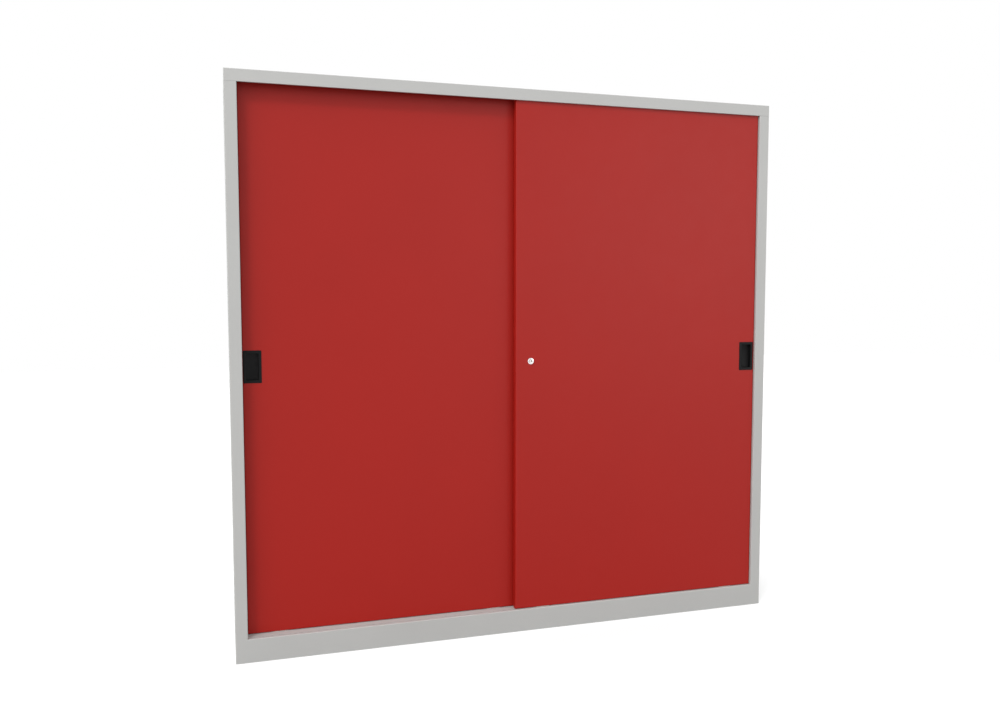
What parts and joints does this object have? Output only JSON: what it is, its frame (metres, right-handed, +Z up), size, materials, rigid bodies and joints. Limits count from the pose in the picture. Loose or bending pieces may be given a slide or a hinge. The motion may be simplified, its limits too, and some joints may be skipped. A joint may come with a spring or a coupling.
{
  "type": "sliding door cabinet",
  "caption": "Wide sheet-steel cabinet with light grey frame, overlapping red sliding doors, recessed pulls, push lock, centre partition and adjustable shelves.",
  "frame": {"origin": "on the floor, under the middle of the cabinet", "axes": "+X to the right along the front, +Y from the front to the back, +Z up"},
  "size_m": [2, 0.45, 1.95],
  "materials": {
    "frame_paint": "light grey powder coat, fine orange peel, satin",
    "door_paint": "red powder coat, fine orange peel, satin",
    "zinc_steel": "bright zinc plate",
    "bright_steel": "nickel-plated",
    "chrome": "polished",
    "black_plastic": "fine moulded texture",
    "nylon": "natural nylon",
    "rubber": "matt"
  },
  "bodies": {
    "carcass": {"back_panel_left": "frame_paint", "back_panel_right": "frame_paint", "base_channel": "frame_paint", "base_panel": "frame_paint", "cap_angles": "frame_paint", "centre_partition": "frame_paint", "end_buffers": "rubber", "front_rail": "zinc_steel", "plinth_rail": "frame_paint", "rear_rail": "zinc_steel", "shelf_clips": "zinc_steel", "shelf_left_1": "frame_paint", "shelf_left_2": "frame_paint", "shelf_left_3": "frame_paint", "shelf_left_4": "frame_paint", "shelf_right_1": "frame_paint", "shelf_right_2": "frame_paint", "shelf_right_3": "frame_paint", "shelf_right_4": "frame_paint", "side_panel_left": "frame_paint", "side_panel_right": "frame_paint", "top_cap": "frame_paint", "upright_left_front": "frame_paint", "upright_left_rear": "frame_paint", "upright_right_front": "frame_paint", "upright_right_rear": "frame_paint"},
    "front_door_leaf": {"front_door": "door_paint", "front_door_axles": "zinc_steel", "front_door_guide_shoes": "nylon", "front_door_hanger_bolts": "zinc_steel", "front_door_hanger_left": "zinc_steel", "front_door_hanger_right": "zinc_steel", "front_door_pull": "black_plastic", "front_door_stiffeners": "door_paint", "lock_housing": "chrome", "lock_clip": "bright_steel"},
    "rear_door_leaf": {"rear_door": "door_paint", "rear_door_axles": "zinc_steel", "rear_door_guide_shoes": "nylon", "rear_door_hanger_bolts": "zinc_steel", "rear_door_hanger_left": "zinc_steel", "rear_door_hanger_right": "zinc_steel", "rear_door_pull": "black_plastic", "rear_door_stiffeners": "door_paint", "lock_keeper": "zinc_steel"},
    "front_wheel_left": {"front_door_wheel_left": "nylon"},
    "front_wheel_right": {"front_door_wheel_right": "nylon"},
    "rear_wheel_left": {"rear_door_wheel_left": "nylon"},
    "rear_wheel_right": {"rear_door_wheel_right": "nylon"},
    "lock_cylinder": {"lock_barrel": "chrome", "lock_bolt": "bright_steel"},
    "lock_plug": {"key_plug": "bright_steel"}
  },
  "joints": [
    {"name": "front_door_slide", "type": "slide", "parent": "carcass", "child": "front_door_leaf", "axis": [1, 0, 0], "range_m": [-0.941, 0]},
    {"name": "rear_door_slide", "type": "slide", "parent": "carcass", "child": "rear_door_leaf", "axis": [-1, 0, 0], "range_m": [-0.926, 0]},
    {"name": "front_wheel_left_spin", "type": "hinge", "parent": "front_door_leaf", "child": "front_wheel_left", "pos_m": [0.1705, -0.19875, 1.9368], "axis": [0, 1, 0], "range_deg": [-6741, 0]},
    {"name": "front_wheel_right_spin", "type": "hinge", "parent": "front_door_leaf", "child": "front_wheel_right", "pos_m": [0.7705, -0.19875, 1.9368], "axis": [0, 1, 0], "range_deg": [-6741, 0]},
    {"name": "rear_wheel_left_spin", "type": "hinge", "parent": "rear_door_leaf", "child": "rear_wheel_left", "pos_m": [-0.7705, -0.16275, 1.9368], "axis": [0, 1, 0], "range_deg": [0, 6633]},
    {"name": "rear_wheel_right_spin", "type": "hinge", "parent": "rear_door_leaf", "child": "rear_wheel_right", "pos_m": [-0.1705, -0.16275, 1.9368], "axis": [0, 1, 0], "range_deg": [0, 6633]},
    {"name": "lock_push", "type": "slide", "parent": "front_door_leaf", "child": "lock_cylinder", "axis": [0, 1, 0], "range_m": [0, 0.005]},
    {"name": "key_turn", "type": "hinge", "parent": "lock_cylinder", "child": "lock_plug", "pos_m": [0.039, -0.2241, 0.99], "axis": [0, 1, 0], "range_deg": [0, 90]}
  ],
  "couplings": [
    {"joint": "front_wheel_left_spin", "follows": "front_door_slide", "rad_per_m": 125},
    {"joint": "front_wheel_right_spin", "follows": "front_door_slide", "rad_per_m": 125},
    {"joint": "rear_wheel_left_spin", "follows": "rear_door_slide", "rad_per_m": -125},
    {"joint": "rear_wheel_right_spin", "follows": "rear_door_slide", "rad_per_m": -125}
  ]
}
